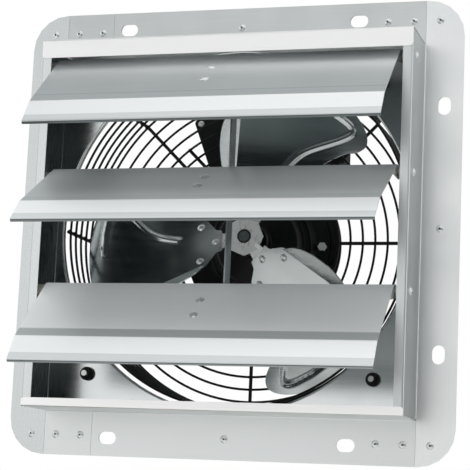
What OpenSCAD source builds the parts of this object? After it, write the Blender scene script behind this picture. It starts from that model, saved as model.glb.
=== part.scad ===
// Wall exhaust fan with a gravity shutter.
// The fan turns about Y. The shutter faces -Y and the motor is at +Y.
// The origin lies on the fan axis, in the plane of the flange's front face.

/* [Flange] */
// Width of the mounting flange
flange_w = 400; // [390:1:430]
// Height of the mounting flange
flange_h = 402; // [390:1:430]
// Radius of the flange's outer corners
flange_corner_r = 32; // [12:1:34]
// Thickness of the frame sheet
sheet_t = 0.8; // [0.6:0.1:1.2]
// Outer radius of the sheet bends
bend_r = 1.8; // [1.4:0.1:2.6]
// Width of the mounting slots
slot_w = 11; // [7:0.5:12]
// Length of the mounting slots, end to end
slot_len = 16; // [13:0.5:24]
// Distance of the slots' centre line from the flange's edge
slot_inset = 16; // [14:0.5:19]

/* [Shutter box] */
// Width of the flange beside the box
flange_side = 33.6; // [31:0.2:36]
// Height of the flange above and below the box
flange_end = 38.7; // [35:0.1:40]
// Depth of the box from the flange face to the front of the top lip
box_d = 57.2; // [52:0.2:70]
// Height of the top lip
lip_top = 17; // [12:0.5:19]
// Width of the side lips
lip_side = 8.5; // [5:0.5:9]
// Height of the bottom lip
lip_bottom = 7.5; // [5:0.5:8]
// Width of the flush plates at the two left corners
corner_plate_w = 44.4; // [36:0.2:46]

/* [Back panel] */
// Room between the air opening and the box
opening_room = 2.3; // [2:0.1:4]
// Depth of the collar behind the flange face
collar_d = 6; // [4:0.5:6]

/* [Louvres] */
// Room between each end of a louvre and the outside of the box
louvre_room = 12.4; // [11.4:0.2:26]
// Bend between the flat part and the lip, in degrees
louvre_bend = 15.8; // [8:0.2:22]
// Depth of the hem under the lip
louvre_hem = 2.5; // [2:0.5:6]
// Thickness of the louvre sheet
louvre_t = 0.7; // [0.5:0.1:1]
// Depth of the pivots in front of the flange face
pivot_y = 40.4; // [38:0.2:44]
// Height of the louvre's top face over its pivot
louvre_rise = 7.75; // [6.5:0.25:9]
// Radius of the pivot pins
pivot_pin_r = 2.5; // [2:0.1:3]
// Open angle of the top louvre, below the horizontal
angle_top = 40.6; // [32:0.2:60]
// Open angle of the middle louvre
angle_middle = 30.8; // [24:0.2:60]
// Open angle of the bottom louvre
angle_bottom = 41.3; // [32:0.2:60]

/* [Linkage] */
// Radius of the link pins
link_pin_r = 1.5; // [1.2:0.1:1.8]
// Width of the tie bar
tie_w = 15; // [13:0.5:18]
// Thickness of the tie bar
tie_t = 1.2; // [0.8:0.1:1.6]
// Distance of the rivet row from the fan's centre plane
bracket_x = -6.7; // [-9:0.1:-4]

/* [Fan wheel] */
// Room between the blade tips and the air opening
tip_room = 9.5; // [8:0.5:20]
// Depth of the hub plate behind the flange face
hub_y = 35.1; // [34:0.1:38]
// Depth of the blades' surface on the fan axis
blade_y = 34.6; // [33:0.1:36]
// Pitch of the blades at the fan axis, in degrees
blade_pitch = 29; // [20:0.5:31]
// Thickness of the blade sheet
blade_t = 1; // [0.8:0.1:1.4]
// Angle of the upper blade's centre line from the horizontal
arm_angle = 70; // [0:0.5:119]
// Radius of the motor shaft
shaft_r = 5; // [4:0.25:5.5]

/* [Motor] */
// Radius of the front shield's rim
shield_r = 64.5; // [64:0.5:67]
// Depth of the front shield's nose behind the flange face
nose_y = 61; // [60:0.5:64]
// Depth of the front shield's rim behind the flange face
rim_y = 99; // [96:0.5:106]
// Outer radius of the motor shell
shell_r = 52.5; // [50:0.5:53]
// Length of the motor shell
shell_len = 38; // [36:1:60]

/* [Guard] */
// Room between the guard's side rings and the air opening
guard_room = 4; // [4:0.5:6]
// Depth of the first side ring behind the flange face
ring_y = 8; // [8:0.5:10]
// Depth of the face rings behind the flange face
face_y = 74.4; // [74:0.2:77]
// Radius of the innermost face ring
face_ring_r = 77.5; // [77:0.5:79]
// Thickness of the ring wire
ring_wire = 2.2; // [1.8:0.1:2.4]
// Thickness of the spoke wire
spoke_wire = 3.2; // [2.6:0.1:3.4]

/* [Hidden] */
$fn = 72;
arc_steps = 5;
// Clearances
seam_gap = 0.2;
seat_gap = 0.1;
run_gap = 0.05;
clear_gap = 0.5;
overrun = 1;

// Frame sheet
bend_mid = bend_r - sheet_t / 2;
box_w = flange_w - 2 * flange_side;
box_h = flange_h - 2 * flange_end;
half_fw = flange_w / 2;
half_fh = flange_h / 2;
half_bw = box_w / 2;
half_bh = box_h / 2;
slot_place_share = 0.2675;
slot_place = slot_place_share * min(flange_w, flange_h);
side_front = box_d - sheet_t - seat_gap;
side_half_h = half_bh - sheet_t - 3 * seam_gap;
panel_front = sheet_t + seat_gap;
panel_t = sheet_t;
panel_back = panel_front + panel_t;
panel_inset = 4;
opening_r = min(half_bw, half_bh) - opening_room;
bolt_place_share = 0.80625;
bolt_place = bolt_place_share * opening_r;
lip_corner_r = 3;
relief_w = 3;
relief_h = 1.6;

// Rivets of the flange
rivet_head_r = 3.4;
rivet_head_h = 1.5;
rivet_shank_r = 1.9;
rivet_tail_r = 2.8;
rivet_tail_h = 1.2;
rivet_inset_x = 21;
rivet_inset_z = 18;
rivet_pitch = 23.2;
corner_rivets = 3;

// Louvre pivots
pivot_head_r = 3.6;
pivot_head_h = 2;
pivot_end = 2.2;
spacer_wall = 1.8;
ear_r = 6;
ear_len = 22;
louvre_start = 1.6;
pitch_share = 0.308;
middle_share = 0.1263;
flat_share = 0.8;
lip_share = 0.253;
louvre_len = box_w - 2 * louvre_room;
louvre_pitch = pitch_share * box_h;
louvre_flat = flat_share * louvre_pitch;
louvre_lip = lip_share * louvre_pitch;
pivot_mid_z = middle_share * box_h;
pivot_z = [pivot_mid_z + louvre_pitch, pivot_mid_z, pivot_mid_z - louvre_pitch];
angles = [angle_top, angle_middle, angle_bottom];

// Louvre brackets and tie bar
bracket_w = 22;
bracket_t = 1.2;
bracket_from = 22;
bracket_to = 56;
bracket_rivets = [26.5, 48.5];
bracket_rivet_r = 4;
bracket_rivet_h = 1.3;
link_arm = [-4.3, -10.2];
link_eye_r = 4.5;
link_head_r = 4.4;
link_head_h = 1.1;
link_slack = 0.45;
tie_end = 7.5;
tie_x = bracket_x + bracket_w / 2 + seat_gap * 4;

// Well nuts and guard bolts
well_barrel_r = 3.8;
well_bulge_r = 6;
well_bulge_len = 3.3;
well_len = 7.6;
well_flange_r = 6.5;
well_flange_t = 1.8;
guard_bolt_r = 2.5;
bolt_tip = 2.2;
bolt_head_r = 4.6;
bolt_head_h = 3.4;
eye_wall = 3.2;
eye_t = 2.4;
eye_y = panel_back + well_flange_t + 5 * seat_gap;

// Guard
side_rings = 6;
ring_drop = 2.4;
ring_gap = (face_y - ring_drop - ring_y) / (side_rings - 1);
guard_r = opening_r - guard_room;
face_rings = 7;
face_edge = 10.1;
face_gap = (guard_r - face_edge - face_ring_r) / (face_rings - 1);
weld_sink = 0.5;
spoke_lift = (ring_wire + spoke_wire) / 2;
face_lift = spoke_wire + seat_gap;
wire_bend = 5;
spoke_stop_r = 73;
leg_bend_y = 20;
leg_step_r = 8;
leg_chamfer = 4;
knuckle_share = 1.02;
spoke_turn = 7;
butt_gap = 0.3;
stub_gap = 14;
stub_from = 113;
stub_to = 69;

// Motor
shield_t = 2;
shield_bend = 2;
shield_hole_r = shaft_r + 1.5;
bearing_r = 13;
bearing_t = 8;
nose_len = 11;
dome_r = [38, 42, 48, 51];
dome_y = [17, 29, 31];
shell_t = 1.6;
shell_y = rim_y + seat_gap;
shell_end = shell_y + shell_len;
core_len = 24;
core_bore_r = 26;
air_gap = 0.5;
core_y = shell_y + 5;
coil_len = 7.5;
coil_r = [29, 44];
stud_place = 57.8;
stud_r = 2;
stud_nut_r = 4.2;
stud_nut_h = 3.2;
stud_tip = 1.5;
studs = 4;
bracket_ring_t = 2.5;
bracket_ring_r = 74.5;
ear_out = 100;
ear_w = 30;

// Terminal box, placed along and across a line from the fan axis
term_angle = 110.7;
term_w = 42;
term_in = 72;
term_out = 134;
term_corner = 4;
term_wall = 1.5;
term_y = 79.3;
cover_t = 1.2;
screw_inset = 5.6;
cover_screw_r = 1.5;
cover_screw_head = 3;
cover_screw_h = 1.8;
cover_screw_len = 9;
post_r = 4.4;
block_w = 30;
block_h = 16;
block_d = 12;
block_place = 93;
gland_place = 118;
gland_r = 7.5;
gland_hex_r = 10;
gland_hex_t = 5;
gland_cap_r = 8.4;
gland_len = 12;
gland_bore = 3.5;

// Capacitor
cap_x = 60;
cap_z = 96;
cap_w = 40;
cap_h = 44;
cap_d = 22;
cap_corner = 4;

// Fan wheel
blades = 3;
tip_r = opening_r - tip_room;
hub_share = 0.1163;
hub_r = hub_share * tip_r;
hub_sides = 8;
hub_t = 2;
collar_r = 6.2;
collar_tip = 1;
boss_r = 11.5;
boss_len = 17;
shaft_recess = 0.6;
screw_r = 2.6;
screw_tip = 0.9;
arm_near = blade_t + seat_gap;
arm_t = 2;
arm_share = 0.332;
arm_shares = [[0.25, -0.11], [0.44, -0.15], [0.54, -0.21], [0.64, -0.28], [0.76, -0.41], [0.95, -0.42], [1, -0.32],
    [1, 0.32], [0.95, 0.42], [0.76, 0.41], [0.64, 0.28], [0.54, 0.21], [0.44, 0.15], [0.25, 0.11]];
// The blade's sheet is part of a cylinder. Its axis runs outward, turned and tilted off the blade's centre line.
roll_share = 1.641;
roll_r = roll_share * tip_r;
roll_turn = 15.5;
roll_tilt = 6.2;
// Rivets: share of the tip radius along the roll, with the angle round it
blade_rivet_shares = [[0.1705, -1.9], [0.2985, 1.43], [0.2262, -7.05]];
blade_rivet_r = 3.6;
blade_rivet_h = 2;
// Blade outline: shares of the tip radius, with the angle from the centre line
blade_shares = [[0.145, 14], [0.152, 26], [0.187, 24], [0.225, 28.6], [0.284, 33], [0.335, 30],
    [0.401, 26.7], [0.531, 23.9], [0.662, 22.2], [0.793, 21.1], [0.86, 20.6], [0.91, 19.2], [0.95, 16], [0.975, 11.5],
    [0.99, 5], [0.998, -2], [1, -9], [0.994, -15], [0.982, -20], [0.965, -24.2], [0.94, -28], [0.905, -30.6],
    [0.865, -31.2], [0.82, -30.4], [0.77, -28], [0.727, -26.7], [0.63, -24.6], [0.5, -25.2], [0.38, -28.6],
    [0.285, -32.2], [0.232, -28.4], [0.194, -23.6], [0.157, -24.5], [0.145, -12]];
blade_steps = 3;
// Flap along the fold: shares of the tip radius along the fold and away from it
fold_angle = 2.9;
fold_turn = 26;
flap_shares = [[0.274, 0.001], [0.3, 0.032], [0.35, 0.08], [0.4, 0.11], [0.465, 0.132], [0.53, 0.143], [0.595, 0.143],
    [0.65, 0.131], [0.7, 0.105], [0.75, 0.07], [0.795, 0.035], [0.83, 0.001]];
// Stiffening rib of the blade: shares of the tip radius, with the angle from the centre line
rib_shares = [[0.422, -7.2], [0.613, -12.5], [0.886, -23.9], [0.914, -13.9], [0.905, -3.4]];
rib_w = 5;
rib_h = 1.4;
rib_bend = 8;
shaft_end = shell_end + bearing_t / 2;

// Outlines

function polar(r, a) = [r * cos(a), r * sin(a)];
function arc(c, r, from, to, steps = arc_steps) =
    [for (k = [0:steps]) c + polar(r, from + (to - from) * k / steps)];
function heading(a, b) = atan2(b[1] - a[1], b[0] - a[0]);
function turn(a, b, c) = let (d = heading(b, c) - heading(a, b)) d > 180 ? d - 360 : d < -180 ? d + 360 : d;
function left_of(h) = [-sin(h), cos(h)];

// One bend of a strip: points at the distance off from its middle line
function strip_bend(a, b, c, r, off) =
    let (t = turn(a, b, c), h = heading(a, b), s = sign(t),
         start = b - polar(r * tan(abs(t) / 2), h), centre = start + s * r * left_of(h))
    [for (k = [0:arc_steps]) centre + (off - s * r) * left_of(h + t * k / arc_steps)];
function strip_edge(path, r, off) =
    let (n = len(path) - 1)
    concat([path[0] + off * left_of(heading(path[0], path[1]))],
           [for (i = [1:1:n - 1]) each strip_bend(path[i - 1], path[i], path[i + 1], r, off)],
           [path[n] + off * left_of(heading(path[n - 1], path[n]))]);
function reversed(list) = [for (i = [len(list) - 1:-1:0]) list[i]];
// Outline of a bent strip of thickness t along the middle line path
function strip(path, r, t) = concat(strip_edge(path, r, t / 2), reversed(strip_edge(path, r, -t / 2)));

// Outline with rounded corners, from points [x, y, radius]
function rounded(pts) =
    let (n = len(pts))
    [for (i = [0:n - 1])
        let (a = pts[(i + n - 1) % n], b = pts[i], c = pts[(i + 1) % n],
             t = turn(a, b, c), h = heading(a, b), s = sign(t), r = b[2],
             start = [b[0], b[1]] - polar(r * tan(abs(t) / 2), h), centre = start + s * r * left_of(h))
        each (r == 0 ? [[b[0], b[1]]]
                     : [for (k = [0:arc_steps]) centre - s * r * left_of(h + t * k / arc_steps)])];
function box_points(x0, x1, z0, z1, r) = rounded([[x0, z0, r], [x1, z0, r], [x1, z1, r], [x0, z1, r]]);
function dome_points(r, h) =
    let (big = (r * r + h * h) / (2 * h), a = acos((big - h) / big))
    concat([[0, 0]], [for (k = [0:arc_steps])
        [big * sin(a * (1 - k / arc_steps)), big * cos(a * (1 - k / arc_steps)) - big + h]]);

// Solids placed by their depth along Y

module slab(y0, y1) rotate([90, 0, 0]) translate([0, 0, -y1]) linear_extrude(y1 - y0) children();
module turned(points) rotate([-90, 0, 0]) rotate_extrude() polygon(points);
module rod(x, z, r, y0, y1) translate([x, y0, z]) rotate([-90, 0, 0]) cylinder(r = r, h = y1 - y0);
module rod_x(y, z, r, x0, x1) translate([x0, y, z]) rotate([0, 90, 0]) cylinder(r = r, h = x1 - x0);
module dome_front(x, z, r, h, y) translate([x, y, z]) rotate([90, 0, 0]) rotate_extrude() polygon(dome_points(r, h));
module hex_y(x, z, r, y0, y1) translate([x, y0, z]) rotate([-90, 0, 0]) cylinder(r = r, h = y1 - y0, $fn = 6);
module tube_y(x, z, r_out, r_in, y0, y1)
    difference() {
        rod(x, z, r_out, y0, y1);
        rod(x, z, r_in, y0 - overrun, y1 + overrun);
    }

// Flange details shared by the frame pieces and the panel

function slot_points() = [
    for (s = [-1, 1]) for (t = [-1, 1]) [s * (half_fw - slot_inset), t * slot_place, 90],
    for (s = [-1, 1]) for (t = [-1, 1]) [s * slot_place, t * (half_fh - slot_inset), 0]
];
function corner_rivet_x(i) = half_fw - rivet_inset_x - i * rivet_pitch;
function rivet_points() = concat(
    [for (s = [-1, 1]) for (t = [-1, 1]) for (i = [0:corner_rivets - 1])
        [s * corner_rivet_x(i), t * (half_fh - rivet_inset_z)]],
    [for (s = [-1, 1]) [s * (half_fw - rivet_inset_z + sheet_t), 0]],
    [for (s = [-1, 1]) [0, s * (half_fh - rivet_inset_z)]]);

module flange_holes(y0, y1) {
    slab(y0, y1) for (p = slot_points()) translate([p[0], p[1]]) rotate(p[2]) slot_shape();
    for (p = rivet_points()) rod(p[0], p[1], rivet_shank_r, y0, y1);
}
module slot_shape()
    union() {
        for (s = [-1, 1]) translate([s * (slot_len - slot_w) / 2, 0]) circle(d = slot_w);
        square([slot_len - slot_w, slot_w], center = true);
    }

// Frame pieces

module side_frame(side)
    mirror([side < 0 ? 1 : 0, 0, 0]) {
        mid = half_bw - sheet_t / 2;
        bend_end = half_bw + bend_r - sheet_t;
        difference() {
            union() {
                slab(0, sheet_t) polygon(rounded([
                    [half_bw + seam_gap, -half_fh, 0], [half_fw, -half_fh, flange_corner_r],
                    [half_fw, half_fh, flange_corner_r], [half_bw + seam_gap, half_fh, 0],
                    [half_bw + seam_gap, side_half_h, 0], [bend_end, side_half_h, 0],
                    [bend_end, -side_half_h, 0], [half_bw + seam_gap, -side_half_h, 0]]));
                translate([0, 0, -side_half_h]) linear_extrude(2 * side_half_h) polygon(strip([
                    [bend_end + bend_r, sheet_t / 2], [mid, sheet_t / 2],
                    [mid, sheet_t / 2 - side_front], [half_bw - lip_side, sheet_t / 2 - side_front]],
                    bend_mid, sheet_t));
            }
            flange_holes(-overrun, sheet_t + overrun);
            for (z = pivot_z)
                rod_x(-pivot_y, z, pivot_pin_r + run_gap, half_bw - sheet_t - overrun, half_bw + overrun);
        }
    }

module left_frame() color([0.80, 0.82, 0.82]) side_frame(-1);
module right_frame() color([0.72, 0.75, 0.75]) side_frame(1);

// A top or bottom piece; its flange runs from the flush corner plates to the right frame
module end_frame(lip, up) {
    mid = half_bh - sheet_t / 2;
    bend_end = half_bh + bend_r - sheet_t;
    flange_left = corner_plate_w - half_bw;
    mirror([0, 0, up ? 0 : 1]) difference() {
        union() {
            slab(0, sheet_t) polygon(box_points(flange_left, half_bw, bend_end, half_fh, 0));
            intersection() {
                translate([-half_bw, 0, 0]) rotate([90, 0, 90]) linear_extrude(box_w) mirror([1, 0]) polygon(strip([
                    [-sheet_t / 2, bend_end + bend_r], [-sheet_t / 2, mid],
                    [box_d - sheet_t / 2, mid], [box_d - sheet_t / 2, half_bh - lip]],
                    bend_mid, sheet_t));
                slab(-box_d - overrun, sheet_t + overrun) polygon(rounded([
                    [-half_bw, half_bh - lip, lip_corner_r], [half_bw, half_bh - lip, lip_corner_r],
                    [half_bw, bend_end + bend_r, 0], [flange_left, bend_end + bend_r, 0],
                    [flange_left, half_bh, 0], [-half_bw, half_bh, 0]]));
            }
        }
        flange_holes(-overrun, sheet_t + overrun);
        slab(-relief_w, sheet_t + overrun)
            translate([half_bw - relief_w, half_bh - sheet_t - overrun]) square([relief_w + overrun, relief_h + overrun]);
    }
}

module top_frame() color([0.93, 0.94, 0.94]) end_frame(lip_top, true);
module bottom_frame() color([0.88, 0.89, 0.89]) end_frame(lip_bottom, false);

// The two flush plates that close the flange at its left corners
module corner_plates()
    color([0.78, 0.80, 0.81]) for (s = [0, 1]) mirror([0, 0, s]) difference() {
        slab(0, sheet_t) polygon(box_points(-half_bw, corner_plate_w - half_bw - seam_gap,
            half_bh + seam_gap, half_fh, 0));
        flange_holes(-overrun, sheet_t + overrun);
    }

// The sheet behind the flange, with the collar round the air opening
module back_panel()
    color([0.60, 0.63, 0.63]) difference() {
        union() {
            difference() {
                slab(panel_front, panel_back) polygon(box_points(-half_fw + panel_inset, half_fw - panel_inset,
                    -half_fh + panel_inset, half_fh - panel_inset, flange_corner_r - panel_inset));
                rod(0, 0, opening_r + bend_r, -overrun, collar_d);
            }
            turned(strip([[opening_r + 2 * bend_r, (panel_front + panel_back) / 2],
                [opening_r + panel_t / 2, (panel_front + panel_back) / 2],
                [opening_r + panel_t / 2, collar_d]], bend_mid, panel_t));
        }
        flange_holes(-overrun, panel_back + overrun);
        for (p = bolt_points()) rod(p[0], p[1], well_barrel_r + seat_gap, -overrun, panel_back + overrun);
    }
function bolt_points() = [for (s = [-1, 1]) for (t = [-1, 1]) [s * bolt_place, t * bolt_place]];

module flange_rivets()
    color([0.55, 0.58, 0.60]) for (p = rivet_points()) union() {
        dome_front(p[0], p[1], rivet_head_r, rivet_head_h, -run_gap);
        rod(p[0], p[1], rivet_shank_r - run_gap, -run_gap, panel_back + run_gap);
        rod(p[0], p[1], rivet_tail_r, panel_back + run_gap, panel_back + rivet_tail_h);
    }

// Louvre pivots: the pins are headed outside the side walls, the spacers hold the louvres off them

module pivot_pins()
    color([0.62, 0.65, 0.66]) for (s = [0, 1]) mirror([s, 0, 0]) for (z = pivot_z) {
        in = louvre_len / 2 - louvre_t - pivot_end;
        translate([half_bw + run_gap, -pivot_y, z]) rotate([0, 90, 0])
            rotate_extrude() polygon(dome_points(pivot_head_r, pivot_head_h));
        rod_x(-pivot_y, z, pivot_pin_r, in, half_bw + run_gap);
    }
module pivot_spacers()
    color([0.92, 0.92, 0.90]) for (s = [0, 1]) mirror([s, 0, 0]) for (z = pivot_z) difference() {
        out = half_bw - sheet_t - seat_gap;
        in = louvre_len / 2 + clear_gap;
        rod_x(-pivot_y, z, pivot_pin_r + spacer_wall, in, out);
        rod_x(-pivot_y, z, pivot_pin_r + run_gap, in - overrun, out + overrun);
    }

// Louvres, drawn with the pivot at the origin: first axis outward, second up from the flat part

function at_rest(i, p) =
    [-pivot_y - p[0] * cos(angles[i]) - p[1] * sin(angles[i]),
     pivot_z[i] - p[0] * sin(angles[i]) + p[1] * cos(angles[i])];
module on_louvre(i) translate([0, -pivot_y, pivot_z[i]]) rotate([angles[i], 0, 0]) children();
// Extrudes an outline of the louvre's cross-section from x0 to x1
module across(x0, x1) translate([x0, 0, 0]) rotate([90, 0, 90]) linear_extrude(x1 - x0) mirror([1, 0]) children();

module louvre(i) {
    half = louvre_len / 2;
    mid = louvre_rise - louvre_t / 2;
    crease = [louvre_start + louvre_flat, mid];
    edge = crease + polar(louvre_lip, -louvre_bend);
    on_louvre(i) difference() {
        union() {
            across(-half, half) polygon(strip([[louvre_start, mid], crease, edge,
                edge + polar(louvre_hem, -louvre_bend - 90)], bend_mid, louvre_t));
            for (s = [-1, 1]) across(s > 0 ? half - louvre_t : -half, s > 0 ? half : -half + louvre_t) union() {
                circle(ear_r);
                polygon([[-ear_r, 0], [ear_r * cos(60), -ear_r * sin(60)],
                    [louvre_start + ear_len, mid], [louvre_start, mid]]);
            }
        }
        for (s = [0, 1]) mirror([s, 0, 0])
            rod_x(0, 0, pivot_pin_r + run_gap, half - louvre_t - overrun, half + overrun);
        for (a = bracket_rivets) translate([bracket_x, -a, 0]) cylinder(r = rivet_shank_r, h = 2 * louvre_rise);
    }
}
module louvre_bracket(i) {
    right = bracket_x + bracket_w / 2;
    top = louvre_rise - louvre_t - seat_gap;
    on_louvre(i) difference() {
        union() {
            translate([bracket_x - bracket_w / 2, -bracket_to, top - bracket_t])
                cube([bracket_w, bracket_to - bracket_from, bracket_t]);
            across(right - bracket_t, right) union() {
                polygon([[bracket_to, top], [bracket_from, top], link_arm + polar(link_eye_r, 130),
                    link_arm + polar(link_eye_r, -50)]);
                translate(link_arm) circle(link_eye_r);
            }
        }
        for (a = bracket_rivets) translate([bracket_x, -a, 0]) cylinder(r = rivet_shank_r, h = 2 * louvre_rise);
        rod_x(-link_arm[0], link_arm[1], link_pin_r + run_gap, right - bracket_t - overrun, right + overrun);
    }
}
module louvre_rivets(i)
    on_louvre(i) for (a = bracket_rivets) translate([bracket_x, -a, 0]) {
        bottom = louvre_rise - louvre_t - bracket_t - 2 * seat_gap;
        translate([0, 0, louvre_rise + run_gap]) rotate_extrude() polygon(dome_points(bracket_rivet_r, bracket_rivet_h));
        translate([0, 0, bottom]) cylinder(r = rivet_shank_r - run_gap, h = louvre_rise + run_gap - bottom);
        translate([0, 0, bottom - rivet_tail_h]) cylinder(r = rivet_tail_r, h = rivet_tail_h);
    }
module link_pin(i) {
    right = bracket_x + bracket_w / 2;
    on_louvre(i) {
        rod_x(-link_arm[0], link_arm[1], link_head_r - link_head_h,
            right - bracket_t - run_gap - link_head_h, right - bracket_t - run_gap);
        rod_x(-link_arm[0], link_arm[1], link_pin_r,
            right - bracket_t - run_gap - link_head_h, tie_x + tie_t + 3 * seat_gap);
        rod_x(-link_arm[0], link_arm[1], link_head_r, tie_x + tie_t + 3 * seat_gap,
            tie_x + tie_t + 3 * seat_gap + link_head_h);
    }
}

module top_louvre() color([0.80, 0.82, 0.83]) louvre(0);
module middle_louvre() color([0.80, 0.82, 0.83]) louvre(1);
module bottom_louvre() color([0.80, 0.82, 0.83]) louvre(2);
module top_bracket() color([0.66, 0.68, 0.69]) louvre_bracket(0);
module middle_bracket() color([0.66, 0.68, 0.69]) louvre_bracket(1);
module bottom_bracket() color([0.66, 0.68, 0.69]) louvre_bracket(2);
module top_bracket_rivets() color([0.60, 0.62, 0.63]) louvre_rivets(0);
module middle_bracket_rivets() color([0.60, 0.62, 0.63]) louvre_rivets(1);
module bottom_bracket_rivets() color([0.60, 0.62, 0.63]) louvre_rivets(2);
module top_link_pin() color([0.70, 0.71, 0.72]) link_pin(0);
module middle_link_pin() color([0.70, 0.71, 0.72]) link_pin(1);
module bottom_link_pin() color([0.70, 0.71, 0.72]) link_pin(2);

// The bar turns on the top link pin. Its two lower eyes are wide, because those louvres
// swing through slightly other angles than the top one.
function eye_offset(i) =
    at_rest(i, link_arm) - at_rest(0, link_arm) - [0, pivot_z[i] - pivot_z[0]];
module tie_bar() {
    top = at_rest(0, link_arm);
    low = at_rest(2, link_arm);
    color([0.62, 0.65, 0.65]) difference() {
        translate([tie_x, top[0] - tie_w / 2, low[1] - tie_end]) cube([tie_t, tie_w, top[1] - low[1] + 2 * tie_end]);
        rod_x(top[0], top[1], link_pin_r + run_gap, tie_x - overrun, tie_x + tie_t + overrun);
        for (i = [1, 2]) {
            centre = top + [0, pivot_z[i] - pivot_z[0]] + eye_offset(i) / 2;
            rod_x(centre[0], centre[1], link_pin_r + norm(eye_offset(i)) / 2 + 2 * link_slack,
                tie_x - overrun, tie_x + tie_t + overrun);
        }
    }
}

// Guard

// A round wire bent in the XY plane along a path, with bends of radius r
module wire(path, r, d) {
    n = len(path) - 1;
    function cut(i) = i == 0 || i == n ? 0 : r * tan(abs(turn(path[i - 1], path[i], path[i + 1])) / 2);
    for (i = [0:n - 1]) {
        h = heading(path[i], path[i + 1]);
        at = path[i] + polar(cut(i), h);
        translate([at[0], at[1], 0]) rotate([0, 90, h]) cylinder(d = d, h = norm(path[i + 1] - path[i]) - cut(i) - cut(i + 1));
        if (i > 0) {
            t = turn(path[i - 1], path[i], path[i + 1]);
            centre = at + sign(t) * r * left_of(h);
            translate([centre[0], centre[1], 0]) rotate(t > 0 ? h - 90 - t : h + 90)
                rotate_extrude(angle = abs(t)) translate([r, 0]) circle(d = d);
        }
    }
}
// The same with a ball at each corner, a hair proud of the wire
module knuckled_wire(path, d)
    for (i = [0:len(path) - 2]) {
        translate([path[i][0], path[i][1], 0]) rotate([0, 90, heading(path[i], path[i + 1])])
            cylinder(d = d, h = norm(path[i + 1] - path[i]));
        if (i > 0) translate([path[i][0], path[i][1], 0]) sphere(d = d * knuckle_share);
    }
module ring(r, y, d) translate([0, y, 0]) rotate([90, 0, 0]) rotate_extrude() translate([r, 0]) circle(d = d);

module guard_side() {
    lift = spoke_lift - weld_sink;
    color([0.10, 0.10, 0.11]) union() {
        for (i = [0:side_rings - 1]) ring(guard_r, ring_y + i * ring_gap, ring_wire);
        for (a = [0:90:270]) rotate([0, -a, 0]) wire([[guard_r + lift, ring_y], [guard_r + lift, face_y + lift],
            [guard_r + lift - spoke_turn, face_y + lift]], wire_bend, spoke_wire);
    }
}
module guard_face() {
    lift = spoke_lift - weld_sink;
    color([0.10, 0.10, 0.11]) union() {
        for (i = [0:face_rings - 1]) ring(face_ring_r + i * face_gap, face_y, i > 0 ? ring_wire : spoke_wire);
        for (a = [0:90:270]) rotate([0, -a, 0]) wire([[spoke_stop_r, face_y + lift],
            [guard_r + lift - spoke_turn - butt_gap, face_y + lift]], wire_bend, spoke_wire);
    }
}
// The four diagonal wires, each with an eye for its bolt
module guard_legs()
    color([0.10, 0.10, 0.11]) for (p = bolt_points()) {
        lift = spoke_lift + seat_gap;
        mid = eye_y + eye_t / 2;
        reach = norm(p) - bolt_head_r - 3 * seat_gap;
        difference() {
            union() {
                rotate([0, -atan2(p[1], p[0]), 0]) knuckled_wire([[reach, mid], [norm(p) - leg_step_r, mid],
                    [guard_r + lift, leg_bend_y], [guard_r + lift, face_y + face_lift - leg_chamfer],
                    [guard_r + lift - leg_chamfer, face_y + face_lift], [spoke_stop_r, face_y + face_lift]], spoke_wire);
                rod(p[0], p[1], guard_bolt_r + eye_wall, eye_y, eye_y + eye_t);
            }
            rod(p[0], p[1], guard_bolt_r + seat_gap, eye_y - overrun, eye_y + eye_t + overrun);
        }
    }
module guard_bolts()
    color([0.45, 0.46, 0.48]) for (p = bolt_points()) union() {
        rod(p[0], p[1], guard_bolt_r, panel_front - well_len - bolt_tip, eye_y + eye_t + seat_gap);
        hex_y(p[0], p[1], bolt_head_r, eye_y + eye_t + seat_gap, eye_y + eye_t + seat_gap + bolt_head_h);
    }
// Rubber well nuts, drawn up tight behind the panel's front face
module well_nuts()
    color([0.08, 0.08, 0.09]) for (p = bolt_points()) difference() {
        union() {
            rod(p[0], p[1], well_flange_r, panel_back + seat_gap, panel_back + seat_gap + well_flange_t);
            rod(p[0], p[1], well_barrel_r, panel_front - well_len, panel_back + seat_gap + well_flange_t);
            rod(p[0], p[1], well_bulge_r, panel_front - seat_gap - well_bulge_len, panel_front - seat_gap);
        }
        rod(p[0], p[1], guard_bolt_r + run_gap, panel_front - well_len - overrun,
            panel_back + seat_gap + well_flange_t + overrun);
    }

// Motor mounting

// Short wires, in pairs beside the diagonals, from the guard's face to the motor bracket
module motor_wires()
    color([0.10, 0.10, 0.11]) for (a = [45:90:315]) for (side = [-1, 1])
        rotate([0, -a, 0]) translate([0, 0, side * stub_gap]) wire([[stub_from, face_y + face_lift],
            [stub_to, face_y + face_lift], [stub_to, rim_y]], wire_bend, spoke_wire);
module motor_bracket()
    color([0.13, 0.13, 0.14]) difference() {
        slab(rim_y + seat_gap, rim_y + seat_gap + bracket_ring_t) union() {
            circle(bracket_ring_r);
            rotate(term_angle) translate([0, -ear_w / 2]) square([ear_out, ear_w]);
        }
        rod(0, 0, shell_r + seat_gap, rim_y - overrun, rim_y + bracket_ring_t + overrun);
        for (p = stud_points()) rod(p[0], p[1], stud_r + run_gap, rim_y - overrun, rim_y + bracket_ring_t + overrun);
    }
function stud_points() = [for (k = [0:studs - 1]) polar(stud_place, 360 / studs * k)];
module motor_studs()
    color([0.62, 0.64, 0.65]) for (p = stud_points()) union() {
        head = rim_y + bracket_ring_t + 2 * seat_gap;
        hex_y(p[0], p[1], stud_nut_r, head, head + stud_nut_h);
        rod(p[0], p[1], stud_r, rim_y - shield_t - seat_gap - stud_nut_h - stud_tip, head);
    }
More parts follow.
